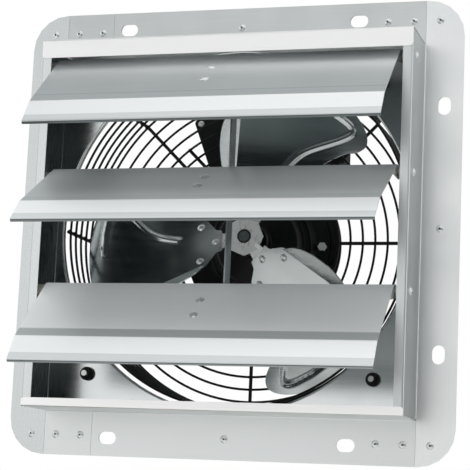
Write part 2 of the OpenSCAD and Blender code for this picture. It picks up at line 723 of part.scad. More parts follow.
module motor_nuts()
    color([0.66, 0.68, 0.69]) for (p = stud_points()) difference() {
        back = rim_y - shield_t - seat_gap;
        hex_y(p[0], p[1], stud_nut_r, back - stud_nut_h, back);
        rod(p[0], p[1], stud_r + run_gap, back - stud_nut_h - overrun, back + overrun);
    }

// Motor

// Middle line of the front shield's sheet, by radius and depth
function shield_path() =
    let (front = nose_y + shield_t / 2, cup = bearing_r + seat_gap + shield_t / 2, rim = rim_y - shield_t / 2)
    [[shield_hole_r, front], [cup, front], [cup, front + nose_len], [dome_r[0], front + dome_y[0]],
     [dome_r[1], front + dome_y[1]], [dome_r[2], front + dome_y[2]], [dome_r[3], rim], [shield_r, rim]];
module motor_front_shield()
    color([0.07, 0.07, 0.08]) difference() {
        turned(strip(shield_path(), shield_bend, shield_t));
        for (p = stud_points()) rod(p[0], p[1], stud_r + run_gap, rim_y - shield_t - overrun, rim_y + overrun);
    }
module motor_shell() color([0.07, 0.07, 0.08]) tube_y(0, 0, shell_r, shell_r - shell_t, shell_y, shell_end);
module motor_rear_shield() {
    cup = bearing_r + seat_gap + shield_t / 2;
    face = shell_end + seat_gap + shield_t / 2;
    color([0.07, 0.07, 0.08]) turned(strip([
        [0, face + bearing_t + shield_bend], [cup, face + bearing_t + shield_bend], [cup, face], [shell_r, face]],
        shield_bend, shield_t));
}
module bearing(y) color([0.58, 0.60, 0.62]) tube_y(0, 0, bearing_r, shaft_r + run_gap, y, y + bearing_t);
module front_bearing() bearing(nose_y + shield_t / 2 + shield_bend);
module rear_bearing() bearing(shell_end + seat_gap);
module stator_core()
    color([0.45, 0.45, 0.47]) tube_y(0, 0, shell_r - shell_t - run_gap, core_bore_r, core_y, core_y + core_len);
module stator_windings()
    color([0.60, 0.33, 0.14]) for (y = [core_y - seat_gap - coil_len, core_y + core_len + seat_gap])
        tube_y(0, 0, coil_r[1], coil_r[0], y, y + coil_len);

// Terminal box and capacitor

module on_box() rotate([0, -term_angle, 0]) children();
function cover_screws_at() = [[term_out - screw_inset, term_w / 2 - screw_inset], [term_in + screw_inset, screw_inset - term_w / 2]];
module terminal_box() {
    front = term_y + cover_t + seat_gap;
    color([0.09, 0.09, 0.10]) on_box() difference() {
        union() {
            difference() {
                slab(front, rim_y) polygon(box_points(term_in, term_out, -term_w / 2, term_w / 2, term_corner));
                slab(front - overrun, rim_y - term_wall) polygon(box_points(term_in + term_wall, term_out - term_wall,
                    term_wall - term_w / 2, term_w / 2 - term_wall, term_corner - term_wall));
            }
            intersection() {
                slab(front, rim_y) polygon(box_points(term_in, term_out, -term_w / 2, term_w / 2, term_corner));
                for (p = cover_screws_at()) rod(p[0], p[1], post_r, front, rim_y - term_wall / 2);
            }
        }
        for (p = cover_screws_at()) rod(p[0], p[1], cover_screw_r + run_gap, front - overrun, term_y + cover_screw_len + overrun);
        rod(gland_place, 0, gland_r + run_gap, rim_y - term_wall - overrun, rim_y + overrun);
    }
}
module terminal_cover()
    color([0.10, 0.10, 0.11]) on_box() difference() {
        slab(term_y, term_y + cover_t) polygon(box_points(term_in, term_out, -term_w / 2, term_w / 2, term_corner));
        for (p = cover_screws_at()) rod(p[0], p[1], cover_screw_r + seat_gap, term_y - overrun, term_y + cover_t + overrun);
    }
module cover_screws()
    color([0.66, 0.68, 0.69]) on_box() for (p = cover_screws_at()) union() {
        dome_front(p[0], p[1], cover_screw_head, cover_screw_h, term_y - seat_gap);
        rod(p[0], p[1], cover_screw_r, term_y - seat_gap, term_y + cover_screw_len);
    }
module terminal_block()
    color([0.90, 0.90, 0.86]) on_box() translate([block_place - block_w / 2, rim_y - term_wall - seat_gap - block_d, -block_h / 2])
        cube([block_w, block_d, block_h]);
module cable_gland()
    color([0.11, 0.11, 0.12]) on_box() difference() {
        union() {
            rod(gland_place, 0, gland_r, rim_y - 2 * term_wall, rim_y + seat_gap);
            hex_y(gland_place, 0, gland_hex_r, rim_y + seat_gap, rim_y + seat_gap + gland_hex_t);
            rod(gland_place, 0, gland_cap_r, rim_y + seat_gap, rim_y + seat_gap + gland_len);
        }
        rod(gland_place, 0, gland_bore, rim_y - 2 * term_wall - overrun, rim_y + seat_gap + gland_len + overrun);
    }
module capacitor() {
    seat = face_y + face_lift + spoke_wire / 2 + seat_gap;
    color([0.09, 0.09, 0.10]) slab(seat, seat + cap_d) polygon(box_points(cap_x - cap_w / 2, cap_x + cap_w / 2,
        cap_z - cap_h / 2, cap_z + cap_h / 2, cap_corner));
}

// Fan wheel. Each blade is a piece of a thin cylinder, cut to its outline along the fan axis.
// In the blade's own frame X runs outward along the centre line and Z across it.

module on_arm(k) rotate([0, -arm_angle - k * 360 / blades, 0]) children();
// The roll's own frame: X along its axis, and Y along the sheet's normal at the fan axis
module on_roll() translate([0, blade_y, 0]) rotate([0, -roll_turn, 0]) rotate([0, 0, -roll_tilt])
    rotate([blade_pitch, 0, 0]) translate([0, -roll_r, 0]) children();
// Places children on the blade's surface, with +Y along its normal
module on_blade(along, angle) on_roll() rotate([angle, 0, 0]) translate([along, roll_r, 0]) children();
// The part of the sheet inside an outline, from depth near to depth far
module curved(outline, near, far)
    intersection() {
        slab(blade_y - tip_r / 2, blade_y + tip_r / 2) polygon(outline);
        on_roll() rotate([0, 90, 0]) difference() {
            cylinder(r = roll_r + far, h = 2 * tip_r, center = true, $fn = 240);
            cylinder(r = roll_r + near, h = 3 * tip_r, center = true, $fn = 240);
        }
    }
function spline(p0, p1, p2, p3, t) = (2 * p1 + (p2 - p0) * t + (2 * p0 - 5 * p1 + 4 * p2 - p3) * t * t
    + (3 * p1 - p0 - 3 * p2 + p3) * t * t * t) / 2;
// A smooth outline through points that close up
function smooth(pts) =
    let (n = len(pts))
    [for (i = [0:n - 1]) for (k = [0:blade_steps - 1])
        spline(pts[(i + n - 1) % n], pts[i], pts[(i + 1) % n], pts[(i + 2) % n], k / blade_steps)];
// The same through points from a first to a last
function smooth_open(pts) =
    let (n = len(pts))
    concat([for (i = [0:n - 2]) for (k = [0:blade_steps - 1])
        spline(pts[max(i - 1, 0)], pts[i], pts[i + 1], pts[min(i + 2, n - 1)], k / blade_steps)], [pts[n - 1]]);
module blade(k)
    on_arm(k) difference() {
        union() {
            curved(smooth([for (p = blade_shares) polar(p[0] * tip_r, p[1])]), 0, blade_t);
            on_blade(0, fold_angle) rotate([fold_turn, 0, 0]) slab(0, blade_t) polygon(smooth_open(tip_r * flap_shares));
            curved(strip([for (p = rib_shares) polar(p[0] * tip_r, p[1])], rib_bend, rib_w), -rib_h, blade_t / 2);
        }
        for (p = blade_rivet_shares) on_blade(p[0] * tip_r, p[1]) rod(0, 0, rivet_shank_r, -overrun, blade_t + overrun);
    }
module upper_blade() color([0.50, 0.53, 0.53]) blade(0);
module left_blade() color([0.50, 0.53, 0.53]) blade(1);
module lower_blade() color([0.50, 0.53, 0.53]) blade(2);
module hub_spider()
    color([0.76, 0.78, 0.78]) difference() {
        union() {
            translate([0, hub_y, 0]) rotate([-90, 0, 0]) cylinder(r = hub_r, h = hub_t, $fn = hub_sides);
            for (k = [0:blades - 1]) on_arm(k) curved(arm_share * tip_r * arm_shares, arm_near, arm_near + arm_t);
        }
        rod(0, 0, collar_r + run_gap, hub_y - 2 * hub_t, hub_y + 2 * hub_t);
        for (k = [0:blades - 1]) on_arm(k)
            for (p = blade_rivet_shares) on_blade(p[0] * tip_r, p[1]) rod(0, 0, rivet_shank_r, 0, arm_near + arm_t + overrun);
    }
module blade_rivets()
    color([0.72, 0.74, 0.75]) for (k = [0:blades - 1]) on_arm(k)
        for (p = blade_rivet_shares) on_blade(p[0] * tip_r, p[1]) union() {
            dome_front(0, 0, blade_rivet_r, blade_rivet_h, -seat_gap);
            rod(0, 0, rivet_shank_r - run_gap, -seat_gap, arm_near + arm_t + seat_gap);
            rod(0, 0, rivet_tail_r, arm_near + arm_t + seat_gap, arm_near + arm_t + seat_gap + rivet_tail_h);
        }
module hub_boss() {
    back = hub_y + hub_t + 6 * seat_gap;
    color([0.08, 0.08, 0.09]) difference() {
        union() {
            rod(0, 0, collar_r, hub_y - collar_tip, back);
            rod(0, 0, boss_r, back, back + boss_len);
        }
        rod(0, 0, shaft_r + run_gap, hub_y - collar_tip - overrun, back + boss_len + overrun);
    }
}
module shaft() {
    front = hub_y - collar_tip + shaft_recess;
    color([0.70, 0.71, 0.72]) union() {
        rod(0, 0, shaft_r, front, shaft_end);
        rod(0, 0, screw_r, front - screw_tip, front);
    }
}
module rotor_core()
    color([0.50, 0.50, 0.52]) tube_y(0, 0, core_bore_r - air_gap, shaft_r + run_gap, core_y, core_y + core_len);

left_frame();
right_frame();
top_frame();
bottom_frame();
corner_plates();
back_panel();
flange_rivets();
pivot_pins();
pivot_spacers();
guard_side();
guard_face();
guard_legs();
guard_bolts();
well_nuts();
motor_wires();
motor_bracket();
motor_front_shield();
motor_shell();
motor_rear_shield();
motor_studs();
motor_nuts();
stator_core();
stator_windings();
front_bearing();
rear_bearing();
terminal_box();
terminal_cover();
cover_screws();
terminal_block();
cable_gland();
capacitor();
shaft();
rotor_core();
hub_boss();
hub_spider();
upper_blade();
left_blade();
lower_blade();
blade_rivets();
top_louvre();
top_bracket();
top_bracket_rivets();
top_link_pin();
middle_louvre();
middle_bracket();
middle_bracket_rivets();
middle_link_pin();
bottom_louvre();
bottom_bracket();
bottom_bracket_rivets();
bottom_link_pin();
tie_bar();
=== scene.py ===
"""Looks of the wall exhaust fan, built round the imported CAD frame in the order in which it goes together."""

import math

import bmesh
import bpy
from mathutils import Matrix, Vector


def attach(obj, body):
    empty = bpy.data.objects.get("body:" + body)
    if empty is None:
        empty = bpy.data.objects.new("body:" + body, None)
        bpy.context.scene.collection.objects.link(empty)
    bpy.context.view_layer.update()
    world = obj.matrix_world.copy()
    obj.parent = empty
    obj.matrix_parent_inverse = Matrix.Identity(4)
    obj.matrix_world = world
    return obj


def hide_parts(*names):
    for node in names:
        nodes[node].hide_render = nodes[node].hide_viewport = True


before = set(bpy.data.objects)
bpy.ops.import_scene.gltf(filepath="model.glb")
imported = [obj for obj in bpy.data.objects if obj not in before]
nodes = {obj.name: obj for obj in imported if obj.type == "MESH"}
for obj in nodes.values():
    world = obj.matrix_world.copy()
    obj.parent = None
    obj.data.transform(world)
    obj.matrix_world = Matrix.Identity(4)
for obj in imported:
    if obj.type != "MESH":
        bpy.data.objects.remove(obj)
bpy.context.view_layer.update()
scene = bpy.context.scene


# Frame: four folded strips of aluminium sheet and two corner plates, riveted into a square flange with a box
# behind it. Rolling at the mill leaves fine straight lines along each strip, and the satin face blurs what it
# mirrors into a broad soft glow.

def linear(hex_colour):
    """An sRGB hex colour as linear numbers."""
    parts = [int(hex_colour[i:i + 2], 16) / 255 for i in (1, 3, 5)]
    return [c / 12.92 if c <= 0.04045 else ((c + 0.055) / 1.055) ** 2.4 for c in parts] + [1.0]


def add(tree, kind, settings, links=None):
    """Adds a node, sets its sockets or properties, and joins its sockets to the outputs given."""
    node = tree.nodes.new(kind)
    for name, value in settings.items():
        if name == "stops":
            for i, (place, hex_colour) in enumerate(value):
                stop = node.color_ramp.elements[i]
                stop.position, stop.color = place, linear(hex_colour)
        elif isinstance(name, int) or name in node.inputs:
            node.inputs[name].default_value = value
        else:
            setattr(node, name, value)
    for name, output in (links or {}).items():
        tree.links.new(output, node.inputs[name])
    return node


# How much of the grain goes into the colour, the sums at which a surface has its dark and its light shade,
# and the span of the grain's own values.
grain_share = 0.45
dark_at, light_at = 0.5, 0.95
grain_low, grain_high = 0.3, 0.7


def finish(name, dark, light, metallic, rough, grain_mm, depth_mm, cloud_mm=60, turn=0, specular=0.5,
           bands=(), under=None):
    """A surface whose colour clouds between two shades, with a grain of the given size along X, Y and Z.
    rough is its roughness in the low and the high places of the grain, and depth_mm is the grain's depth.
    turn tilts the grain about X. bands lists an axis of the tilted pattern, a place on it, a shade and
    a width: on the low side of the place the surface has that shade, and the change is that wide.
    under is a painted shade for the faces that look down in the tilted pattern."""
    material = bpy.data.materials.new(name)
    material.use_nodes = True
    tree = material.node_tree
    shader = tree.nodes["Principled BSDF"]
    shader.inputs["Metallic"].default_value = metallic
    shader.inputs["Specular IOR Level"].default_value = specular
    tilt = math.radians(turn)
    place = add(tree, "ShaderNodeTexCoord", {})
    turned = add(tree, "ShaderNodeMapping", {"Rotation": (-tilt, 0, 0)}, {"Vector": place.outputs["Object"]})
    along = add(tree, "ShaderNodeMapping", {"Scale": [1000 / g for g in grain_mm]},
                {"Vector": turned.outputs[0]})
    grain = add(tree, "ShaderNodeTexNoise", {"Scale": 1.0, "Detail": 3.0}, {"Vector": along.outputs[0]})
    cloud = add(tree, "ShaderNodeTexNoise", {"Scale": 1000 / cloud_mm, "Detail": 2.0},
                {"Vector": place.outputs["Object"]})
    both = add(tree, "ShaderNodeMath", {"operation": "MULTIPLY_ADD", 1: grain_share},
               {0: grain.outputs["Fac"], 2: cloud.outputs["Fac"]})
    shade = add(tree, "ShaderNodeValToRGB", {"stops": [(dark_at, dark), (light_at, light)]},
                {"Fac": both.outputs[0]})
    colour = shade.outputs[0]
    for axis, edge, tint, width in bands:
        apart = add(tree, "ShaderNodeSeparateXYZ", {}, {"Vector": turned.outputs[0]})
        past = add(tree, "ShaderNodeMapRange", {"From Min": edge + width, "From Max": edge},
                   {"Value": apart.outputs[axis]})
        mixed = add(tree, "ShaderNodeMixRGB", {"Color2": linear(tint)},
                    {"Fac": past.outputs[0], "Color1": colour})
        colour = mixed.outputs[0]
    if under:
        facing = add(tree, "ShaderNodeVectorMath",
                     {"operation": "DOT_PRODUCT", 1: (0, -math.sin(tilt), math.cos(tilt))},
                     {0: place.outputs["Normal"]})
        below = add(tree, "ShaderNodeMath", {"operation": "LESS_THAN", 1: 0.0}, {0: facing.outputs["Value"]})
        mixed = add(tree, "ShaderNodeMixRGB", {"Color2": linear(under)},
                    {"Fac": below.outputs[0], "Color1": colour})
        colour = mixed.outputs[0]
    tree.links.new(colour, shader.inputs["Base Color"])
    gloss = add(tree, "ShaderNodeMapRange",
                {"To Min": rough[0], "To Max": rough[1], "From Min": grain_low, "From Max": grain_high},
                {"Value": grain.outputs["Fac"]})
    tree.links.new(gloss.outputs[0], shader.inputs["Roughness"])
    bump = add(tree, "ShaderNodeBump", {"Strength": 1.0, "Distance": depth_mm / 1000},
               {"Height": grain.outputs["Fac"]})
    tree.links.new(bump.outputs[0], shader.inputs["Normal"])
    return material


def dress(material, *names):
    """Gives CAD nodes a material in place of their own."""
    for name in names:
        nodes[name].data.materials.clear()
        nodes[name].data.materials.append(material)


# Rolled aluminium, satin: the lines are drawn 1.2 mm apart, so that they show. The folded lips are painted
# paler, a painted highlight, and the bottom strip is paler than the top one. The right strip's flange is
# painted paler than its wall and lip, which carry painted shade, and the left wall is painted dark, a painted
# shade, with its flange and lip paler.
lines_along_x, lines_along_z = (60, 1.2, 1.2), (1.2, 1.2, 60)
lip_y, left_lip_y, wall_y, left_wall_x = -0.054, -0.0561, -0.0015, -0.16605
flange_sheet_lip_highlight = finish("rolled_aluminium_satin_painted_highlight", "#cbcfcf", "#d8dbdb", 0.9, (0.34, 0.4), lines_along_x, 0.004,
                      bands=[("Z", 0, "#e0e3e3", 0.001), ("Y", lip_y, "#fbfbfb", 0.001)])
left_sheet_painted_shade = finish("rolled_aluminium_left_painted_shade", "#5d6464", "#6a7171", 0.95, (0.24, 0.3), lines_along_z, 0.004,
                    bands=[("X", left_wall_x, "#d2d6d6", 0.0001), ("Y", left_lip_y, "#d9dddd", 0.0003)])
side_sheet_painted_shade = finish("rolled_aluminium_side_painted_shade", "#e8ebeb", "#f4f6f6", 0.9, (0.34, 0.4), lines_along_z, 0.004,
                    bands=[("Y", wall_y, "#d3d7d7", 0.0003)])
dress(flange_sheet_lip_highlight, "top_frame", "bottom_frame", "corner_plates")
dress(left_sheet_painted_shade, "left_frame")
dress(side_sheet_painted_shade, "right_frame")


# Back panel: one pressed sheet across the box, with the round opening drawn back into a short collar.
# It is the same rolled aluminium with a smoother face, which mirrors the dim space behind the louvres.
panel_sheet = finish("rolled_aluminium_panel", "#dde1e1", "#eceeee", 1, (0.17, 0.23), lines_along_x, 0.002)
dress(panel_sheet, "back_panel")


# Rivets: 16 blind rivets of plated aluminium in the flange, set from the front, and like heads on the
# louvres' pivots and brackets and on the fan blades. A blind rivet keeps the broken end of its mandrel,
# which shows as a dark pin in the middle of the bright head.
rivet_metal = finish("plated_rivet_metal", "#d4d8d9", "#e8ebeb", 0.65, (0.12, 0.2), (0.8, 0.8, 0.8),
                     0.006, cloud_mm=9)
dress(rivet_metal, "flange_rivets", "pivot_pins", "top_bracket_rivets", "middle_bracket_rivets",
      "bottom_bracket_rivets", "blade_rivets")
pit_metal = finish("broken_mandrel_steel", "#3c4142", "#5a6061", 1, (0.45, 0.6), (0.5, 0.5, 0.5), 0.02,
                   cloud_mm=5)
mandrel_r, mandrel_length, mandrel_sides, mandrel_sink = 0.0009, 0.0004, 12, 0.00002


def loose_boxes(name):
    """The boxes of a CAD node's separate solids."""
    copy = bmesh.new()
    copy.from_mesh(nodes[name].data)
    bmesh.ops.remove_doubles(copy, verts=copy.verts, dist=1e-6)
    left, boxes = set(copy.verts), []
    while left:
        group, todo = [], [left.pop()]
        while todo:
            vert = todo.pop()
            group.append(vert.co.copy())
            for edge in vert.link_edges:
                other = edge.other_vert(vert)
                if other in left:
                    left.remove(other)
                    todo.append(other)
        boxes.append((Vector(map(min, *group)), Vector(map(max, *group))))
    copy.free()
    return sorted(boxes, key=lambda b: tuple(round(c, 4) for c in b[0]))


def new_piece(name, mesh, body, slot, *replaced):
    """Puts a finished mesh in the scene, on its body."""
    piece = bpy.data.objects.new(name, mesh)
    scene.collection.objects.link(piece)
    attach(piece, body)
    if replaced:
        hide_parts(*replaced)
    return piece


def repeated(name, points, body, slot, material, shape, sizes):
    """Geometry Nodes: one small shape on every point, as a plain mesh. shape adds the nodes that make it."""
    tree = bpy.data.node_groups.new(name, "GeometryNodeTree")
    tree.interface.new_socket("Geometry", in_out="INPUT", socket_type="NodeSocketGeometry")
    tree.interface.new_socket("Geometry", in_out="OUTPUT", socket_type="NodeSocketGeometry")
    named = {key: tree.interface.new_socket(key, in_out="INPUT", socket_type="NodeSocketFloat")
             for key in sizes}
    start = add(tree, "NodeGroupInput", {})
    made = shape(tree, start)
    placed = add(tree, "GeometryNodeInstanceOnPoints", {},
                 {"Points": start.outputs["Geometry"], "Instance": made})
    real = add(tree, "GeometryNodeRealizeInstances", {}, {"Geometry": placed.outputs[0]})
    shade = add(tree, "GeometryNodeSetMaterial", {"Material": material}, {"Geometry": real.outputs[0]})
    add(tree, "NodeGroupOutput", {}, {"Geometry": shade.outputs[0]})
    mesh = bpy.data.meshes.new(name + "_points")
    mesh.from_pydata(points, [], [])
    holder = bpy.data.objects.new(name + "_points", mesh)
    scene.collection.objects.link(holder)
    modifier = holder.modifiers.new(name, "NODES")
    modifier.node_group = tree
    for key, value in sizes.items():
        modifier[named[key].identifier] = value
    bpy.context.view_layer.update()
    result = bpy.data.meshes.new_from_object(holder.evaluated_get(bpy.context.evaluated_depsgraph_get()))
    result.name = name
    holder.modifiers.clear()
    bpy.data.objects.remove(holder)
    return new_piece(name, result, body, slot)


def mandrel_pin(tree, start):
    """A short round pin that points along Y."""
    pin = add(tree, "GeometryNodeMeshCylinder", {"Vertices": mandrel_sides},
              {"Radius": start.outputs["Radius"], "Depth": start.outputs["Length"]})
    laid = add(tree, "GeometryNodeTransform", {"Rotation": (math.pi / 2, 0, 0)},
               {"Geometry": pin.outputs["Mesh"]})
    return laid.outputs[0]


head_fronts = [((low.x + high.x) / 2, low.y + mandrel_sink, (low.z + high.z) / 2)
               for low, high in loose_boxes("flange_rivets")]
repeated("rivet_mandrels", head_fronts, "frame", "zinc_rivet", pit_metal, mandrel_pin,
         {"Radius": mandrel_r, "Length": mandrel_length})


# Louvres: three blades of thin aluminium, each folded to a lip and a hem along its front edge, which swing
# on their pins between nylon spacers. The outer face is brushed along its length. Painted shade darkens the
# faces that look down, a thin line and a band before the fold, the lip's edge and the hem, and the lip
# carries a painted highlight.
# Moulded nylon is off-white, with a soft waxy shine.
dress(finish("moulded_nylon", "#dfddd2", "#edebe2", 0, (0.42, 0.5), (0.9, 0.9, 0.9), 0.01), "pivot_spacers")
pivot_y = -0.0404
# How far in front of the pivot the painted shade of the thin line and of the band, the lip's painted highlight
# and the painted shade of its edge begin, and how far above the pivot the hem's painted shade ends.
line_shade_from, fold_band_shade_from, lip_highlight_from, edge_shade_from, hem_shade_top = 0.0702, 0.0712, 0.0812, 0.0985, 0.0002
# Each louvre is a lit or shaded copy of the same aluminium, with its own shades and metallic; the last two
# shades are the painted shade of the band before the fold and of the faces that look down.
for which, angle, pivot_z, metallic, dark, light, fold_band_shade, underside_shade in (
        ("top", 40.6, 0.14097, 0.8, "#d2d6d7", "#dadedf", "#d6dadb", "#798081"),
        ("middle", 30.8, 0.041, 0.3, "#b9bebf", "#c1c5c6", "#b4b9ba", "#798081"),
        ("bottom", 41.3, -0.05898, 0.3, "#e2e5e6", "#e9ecec", "#aeb3b4", "#a3a9aa")):
    tilt = math.radians(angle)
    turned_y = pivot_y * math.cos(tilt) + pivot_z * math.sin(tilt)
    turned_z = pivot_z * math.cos(tilt) - pivot_y * math.sin(tilt)
    bands = [("Y", turned_y - line_shade_from, "#bcc2c3", 0.0005), ("Y", turned_y - fold_band_shade_from, fold_band_shade, 0.0005),
             ("Y", turned_y - lip_highlight_from, "#edf0f0", 0.0005), ("Y", turned_y - edge_shade_from, "#d3d7d8", 0.0004),
             ("Z", turned_z + hem_shade_top, "#4c5454", 0.0006)]
    brushed = finish("brushed_aluminium_painted_shade_" + which, dark, light, metallic, (0.28, 0.3), (120, 0.9, 0.9),
                     0.0009, cloud_mm=90, turn=angle, bands=bands, under=underside_shade)
    dress(brushed, which + "_louvre")


# Louvre linkage: a zinc-plated bracket and pin on each louvre, joined by one long tie bar.
# Zinc plating is greyer than the sheet, and faintly mottled.
link_metal = finish("zinc_plated_steel", "#8d9394", "#a8aeaf", 1, (0.34, 0.46), (3, 3, 14), 0.01,
                    cloud_mm=12)
dress(link_metal, "top_bracket", "middle_bracket", "bottom_bracket", "tie_bar")
dress(finish("zinc_plated_pins", "#a2a8a9", "#bcc1c2", 1, (0.25, 0.36), (1, 1, 1), 0.006, cloud_mm=8),
      "top_link_pin", "middle_link_pin", "bottom_link_pin")


# Guard: a cage of spot-welded steel wire and four diagonal wires with bolt eyes, all powder coated black.
# The coat is slightly pebbled, fills the corners at each weld, and gives the wires a soft broad shine.
# The diagonal wires are welded to it from the third side ring on. These sizes are in millimetres.
wire_coat = finish("black_powder_coat", "#070808", "#0e0f10", 0, (0.4, 0.5), (1.1, 1.1, 1.1), 0.03,
                   cloud_mm=30, specular=0.25)
dress(wire_coat, "guard_side", "guard_face", "guard_legs", "motor_wires")
guard_r, ring_y, ring_gap, side_rings = 156, 8, 12.8, 6
face_y, face_ring_r, face_gap, crossed_face_rings = 74.4, 77.5, 11.4, 6
half_wire, spokes, leg_first_ring, bead_r = 1.1, 8, 2, 1.2
weld_points = []
for spoke in range(spokes):
    turn = math.radians(360 / spokes * spoke)
    out, back = Vector((math.cos(turn), 0, math.sin(turn))), Vector((0, 1, 0))
    across = Vector((-math.sin(turn), 0, math.cos(turn)))
    first_ring = spoke % 2 * leg_first_ring
    crossings = [out * (guard_r + half_wire) + back * (ring_y + ring_gap * i)
                 for i in range(first_ring, side_rings)]
    crossings += [out * (face_ring_r + face_gap * i) + back * (face_y + half_wire)
                  for i in range(crossed_face_rings)]
    for point in crossings:
        weld_points += [(point + across * side) / 1000 for side in (-half_wire, half_wire)]


def weld_bead(tree, start):
    """A small round bead."""
    bead = add(tree, "GeometryNodeMeshIcoSphere", {"Subdivisions": 2}, {"Radius": start.outputs["Radius"]})
    return bead.outputs["Mesh"]


repeated("guard_welds", weld_points, "frame", "guard_wire", wire_coat, weld_bead, {"Radius": bead_r / 1000})


# Guard bolts: hexagon bolts, drawn into rubber well nuts in the panel.
# The plating is bright on the flats, the rubber dull and black.
bolt_metal = finish("zinc_plated_bolts", "#dcdfe0", "#eef0f0", 0.45, (0.14, 0.24), (0.8, 0.8, 0.8), 0.008,
                    cloud_mm=7)
dress(bolt_metal, "guard_bolts", "motor_studs", "motor_nuts", "cover_screws")
dress(finish("moulded_rubber", "#121313", "#1d1e1e", 0, (0.62, 0.75), (0.9, 0.9, 0.9), 0.03), "well_nuts")


# Motor: a drawn steel shell between two pressed shields, held by studs, all in black enamel.
# The enamel is smooth and semi-gloss, over two pressed beads on the front shield.
enamel = finish("black_enamel", "#060707", "#0c0d0e", 0, (0.3, 0.4), (2.2, 2.2, 2.2), 0.025,
                cloud_mm=40, specular=0.25)
dress(enamel, "motor_bracket", "motor_front_shield", "motor_shell", "motor_rear_shield")
bead_sides, bead_steps = 96, 8
# How far a bead's rims lie under the face, and its root behind its crest.
bead_sink, bead_depth = 0.00005, 0.0014


def turned_beads(name, base, radii, width, height):
    """Rings pressed forward out of a CAD node's front face."""
    verts, faces = [], []
    for r in radii:
        first = len(verts)
        for k in range(bead_sides):
            a = 2 * math.pi * k / bead_sides
            for j in range(bead_steps + 1):
                off = (j / bead_steps - 0.5) * width
                reach = r + off
                lift = height * (0.5 + 0.5 * math.cos(2 * math.pi * off / width)) - bead_sink
                _, place, _, _ = base.ray_cast(Vector((reach * math.cos(a), -1, reach * math.sin(a))),
                                               Vector((0, 1, 0)))
                verts.append((reach * math.cos(a), place.y - lift, reach * math.sin(a)))
            crest = verts[first + k * (bead_steps + 2) + bead_steps // 2]
            verts.append((r * math.cos(a), crest[1] + bead_depth, r * math.sin(a)))
        for k in range(bead_sides):
            here, there = (first + side * (bead_steps + 2) for side in (k, (k + 1) % bead_sides))
            for j in range(bead_steps + 2):
                n = (j + 1) % (bead_steps + 2)
                faces.append((here + j, here + n, there + n, there + j))
    mesh = bpy.data.meshes.new(name)
    mesh.from_pydata(verts, [], faces)
    shell = bmesh.new()
    shell.from_mesh(mesh)
    bmesh.ops.recalc_face_normals(shell, faces=shell.faces)
    for face in shell.faces:
        face.smooth = True
    shell.to_mesh(mesh)
    shell.free()
    return mesh


bead_mesh = turned_beads("shield_beads", nodes["motor_front_shield"], radii=(0.041, 0.048), width=0.0034,
                         height=0.0009)
bead_mesh.materials.append(enamel)
new_piece("shield_beads", bead_mesh, "frame", "motor_paint")


# Inside of the motor: laminated core, varnished copper windings, bearings and the rotor's core.
# They only show through gaps: dark blued steel, amber varnish and ground steel.
dress(finish("stacked_laminations", "#4a4c4e", "#626466", 1, (0.4, 0.5), (40, 0.7, 40), 0.05),
      "stator_core", "rotor_core")
dress(finish("varnished_copper", "#6b2f0f", "#9a5420", 0, (0.2, 0.35), (12, 0.8, 12), 0.15, cloud_mm=10),
      "stator_windings")
dress(finish("ground_bearing_steel", "#a8abad", "#c4c7c9", 1, (0.14, 0.22), (0.5, 20, 0.5), 0.004),
      "front_bearing", "rear_bearing")


# Terminal box: moulded black plastic with a cover, two screws, a cable gland and the run capacitor beside
# it. The moulds were spark-eroded, which leaves a fine even matt grain. The terminal block is a pale one.
moulded = finish("moulded_black_plastic", "#0c0d0e", "#151617", 0, (0.5, 0.6), (0.9, 0.9, 0.9), 0.03,
                 specular=0.3)
dress(moulded, "terminal_box", "terminal_cover", "cable_gland", "capacitor")
dress(finish("moulded_terminal_block", "#d9d6c6", "#e7e4d6", 0, (0.4, 0.5), (0.9, 0.9, 0.9), 0.01),
      "terminal_block")


# Shaft, boss and spider: a ground steel shaft in a blackened boss, on which the zinc-plated spider sits.
# The shaft keeps the dull sheen of its grinding, the boss is nearly black, and the spider is the palest.
dress(finish("ground_shaft_steel", "#5d6364", "#737979", 0.5, (0.22, 0.34), (0.6, 30, 0.6), 0.004,
             cloud_mm=12), "shaft")
dress(finish("blackened_steel", "#111213", "#1c1e1f", 0.6, (0.34, 0.46), (1, 1, 1), 0.01, cloud_mm=12),
      "hub_boss")
dress(finish("zinc_plated_spider", "#e4e7e7", "#eff1f1", 0.3, (0.26, 0.32), (2, 2, 6), 0.003,
             cloud_mm=14), "hub_spider")


# Fan blades: three pressed sheets of aluminium, part of a cylinder, with a folded flap along the leading
# edge and a hairpin rib near the tip. The mill finish mirrors what stands round it, and the rounded rib
# catches bright lines.
tip_r, roll_r, blade_y, arm_angle, blades = 0.1505, 0.24697, 0.0346, 70, ("upper", "left", "lower")
roll_turn, roll_tilt, blade_pitch, fold_angle, fold_turn = 15.5, 6.2, 29, 2.9, 26
sheet_t, grid, rib_height, rib_half_width, sharp_angle = 0.001, 0.00135, 0.0015, 0.0032, 0.7
roll = (Matrix.Rotation(math.radians(-roll_turn), 3, "Y") @ Matrix.Rotation(math.radians(-roll_tilt), 3, "Z")
        @ Matrix.Rotation(math.radians(blade_pitch), 3, "X"))
unroll = roll.transposed()
axis_to_sheet = Vector((0, roll_r, 0))
